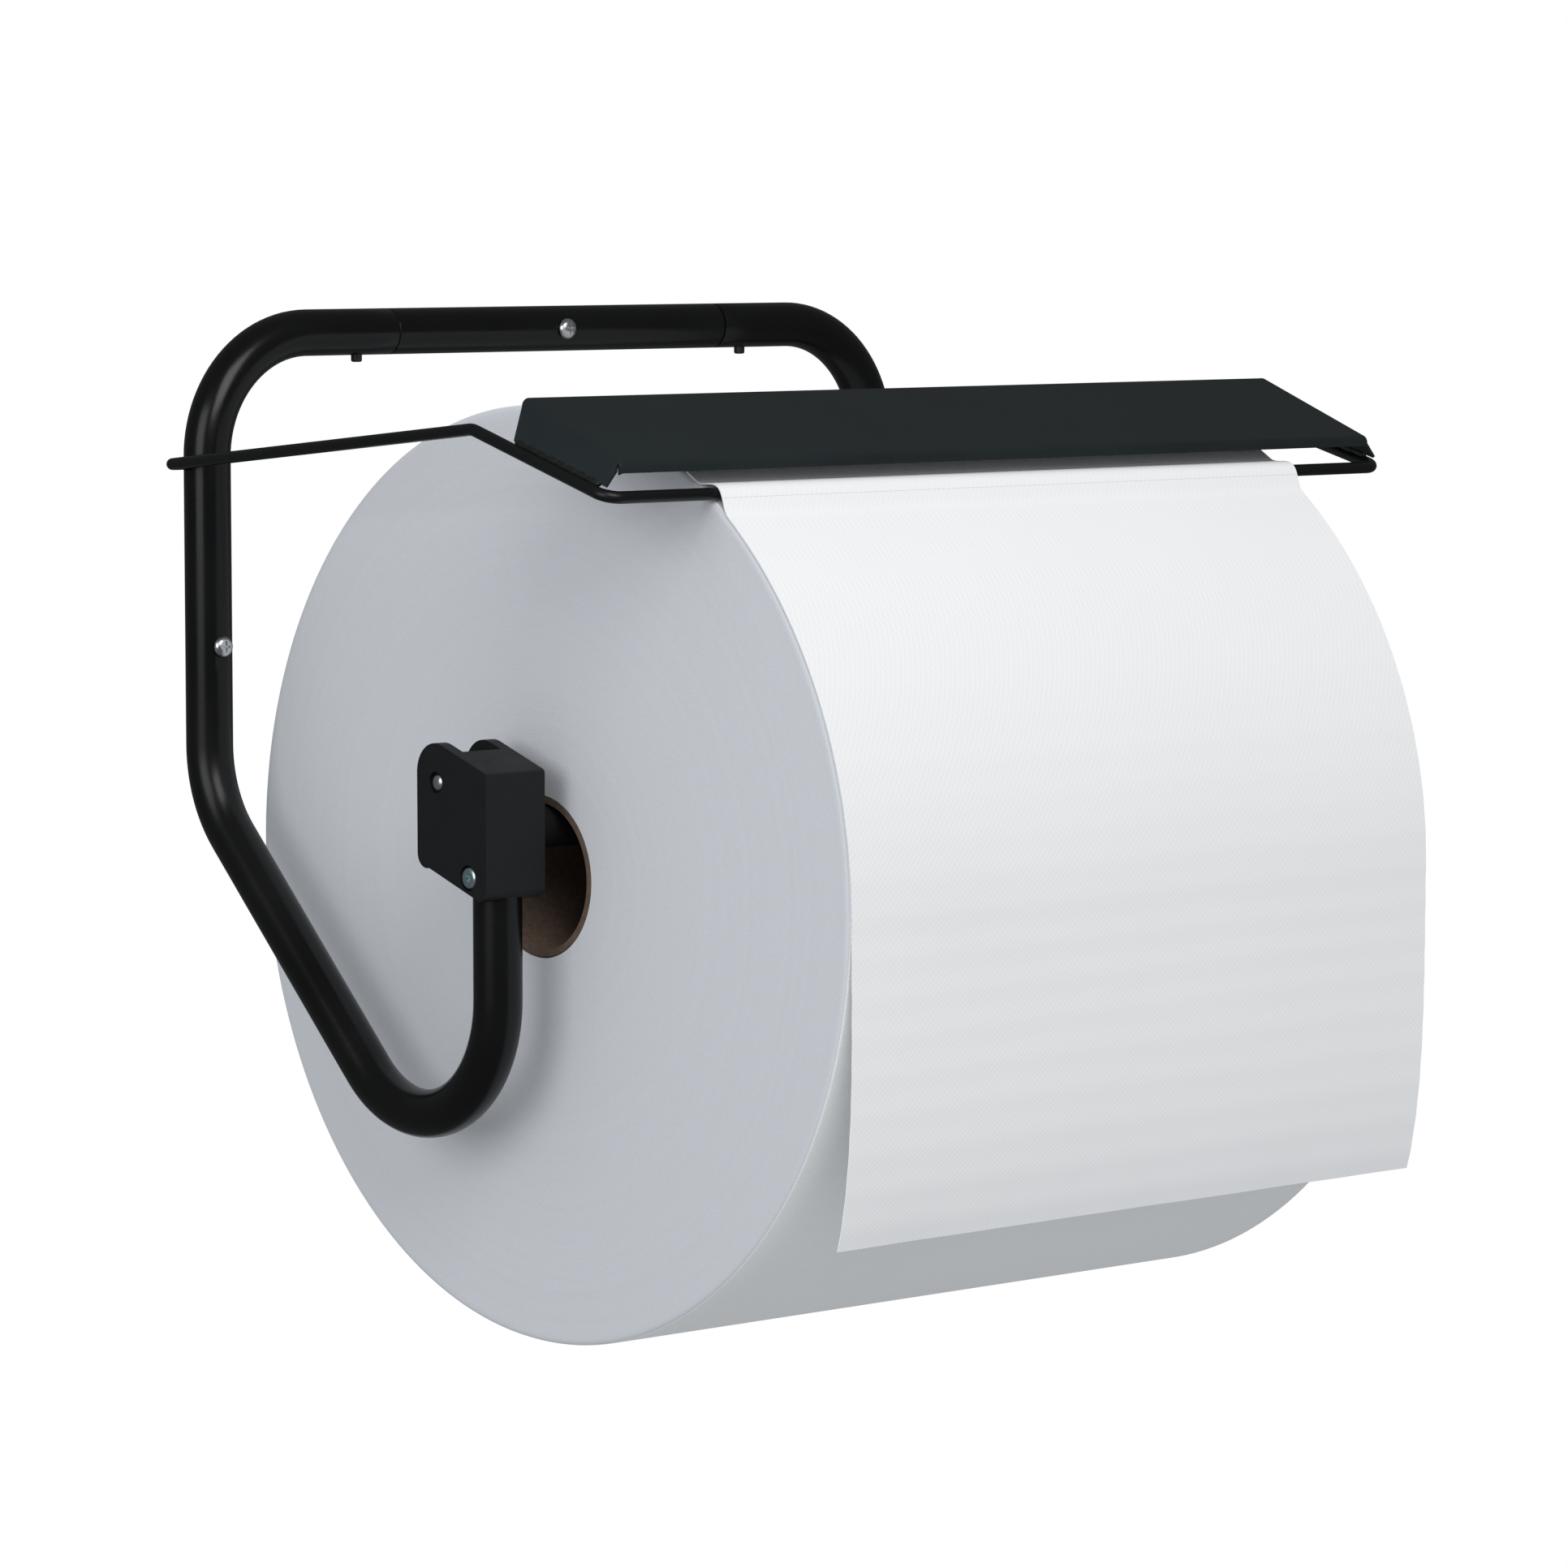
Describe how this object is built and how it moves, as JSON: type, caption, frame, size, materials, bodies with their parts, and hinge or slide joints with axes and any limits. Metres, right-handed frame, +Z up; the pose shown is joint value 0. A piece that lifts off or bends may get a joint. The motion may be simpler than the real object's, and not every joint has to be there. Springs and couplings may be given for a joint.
{
  "type": "wall-mounted paper towel holder",
  "caption": "Wall rack of bent black tube that carries a jumbo roll of wiping paper on a sprung spindle in plastic cradles, with a lift-up wire tear bar and plate.",
  "frame": {"origin": "on the wall plane, at the axis of the top wall screw in the middle of the crossbar", "axes": "+X to the right as seen from the room, +Y into the wall, +Z up; the tubes' backs lie on Y = 0"},
  "size_m": [0.4292, 0.3934, 0.4185],
  "materials": {
    "black_tube": "black powder coat, satin gloss",
    "black_wire": "black powder coat, satin",
    "plate_paint": "dark satin paint with a slightly green cast",
    "cradle_plastic": "moulded black, fine texture",
    "black_nylon": "smooth black",
    "blue_zinc": "blue-passivated zinc",
    "bright_zinc": "bright zinc",
    "spring_steel": "tempered spring steel",
    "rod_steel": "black oxide rod",
    "cardboard": "brown wound board",
    "paper": "soft white, lightly embossed"
  },
  "bodies": {
    "frame": {"crossbar_tube": "black_tube", "left_side_tube": "black_tube", "right_side_tube": "black_tube", "top_wall_screw": "bright_zinc", "left_wall_screw": "bright_zinc", "right_wall_screw": "bright_zinc", "left_cradle": "cradle_plastic", "right_cradle": "cradle_plastic", "left_cradle_bolt": "blue_zinc", "right_cradle_bolt": "blue_zinc", "left_cradle_nut": "blue_zinc", "right_cradle_nut": "blue_zinc", "left_cradle_rivet": "bright_zinc", "right_cradle_rivet": "bright_zinc", "left_snap_spring": "spring_steel", "right_snap_spring": "spring_steel", "hanging_sheet": "paper"},
    "roll": {"core_tube": "cardboard", "paper_roll": "paper"},
    "spindle": {"spindle_sleeve": "black_nylon", "spindle_spring": "spring_steel"},
    "plunger": {"spindle_plunger": "rod_steel"},
    "tear_bar": {"tear_bar_wire": "black_wire", "tear_plate": "plate_paint", "sheet_in_tear_bar": "paper"},
    "left_button": {"left_snap_button": "black_tube"},
    "right_button": {"right_snap_button": "black_tube"}
  },
  "joints": [
    {"name": "roll_spin", "type": "hinge", "parent": "frame", "child": "roll", "pos_m": [0, -0.201, -0.217], "axis": [1, 0, 0], "continuous": true},
    {"name": "spindle_turn", "type": "hinge", "parent": "frame", "child": "spindle", "pos_m": [0, -0.201, -0.19635], "axis": [1, 0, 0], "continuous": true},
    {"name": "plunger_press", "type": "slide", "parent": "spindle", "child": "plunger", "axis": [-1, 0, 0], "range_m": [0, 0.011], "stiffness_N_per_m": 1500, "springref_m": -0.006, "deforming": ["spindle_spring"]},
    {"name": "tear_bar_lift", "type": "hinge", "parent": "frame", "child": "tear_bar", "pos_m": [0, -0.01, -0.0545], "axis": [-1, 0, 0], "range_deg": [0, 84]},
    {"name": "left_button_press", "type": "slide", "parent": "frame", "child": "left_button", "axis": [0, 0, 1], "range_m": [0, 0.003], "stiffness_N_per_m": 1500, "springref_m": -0.002, "deforming": ["left_snap_spring"]},
    {"name": "right_button_press", "type": "slide", "parent": "frame", "child": "right_button", "axis": [0, 0, 1], "range_m": [0, 0.003], "stiffness_N_per_m": 1500, "springref_m": -0.002, "deforming": ["right_snap_spring"]}
  ]
}
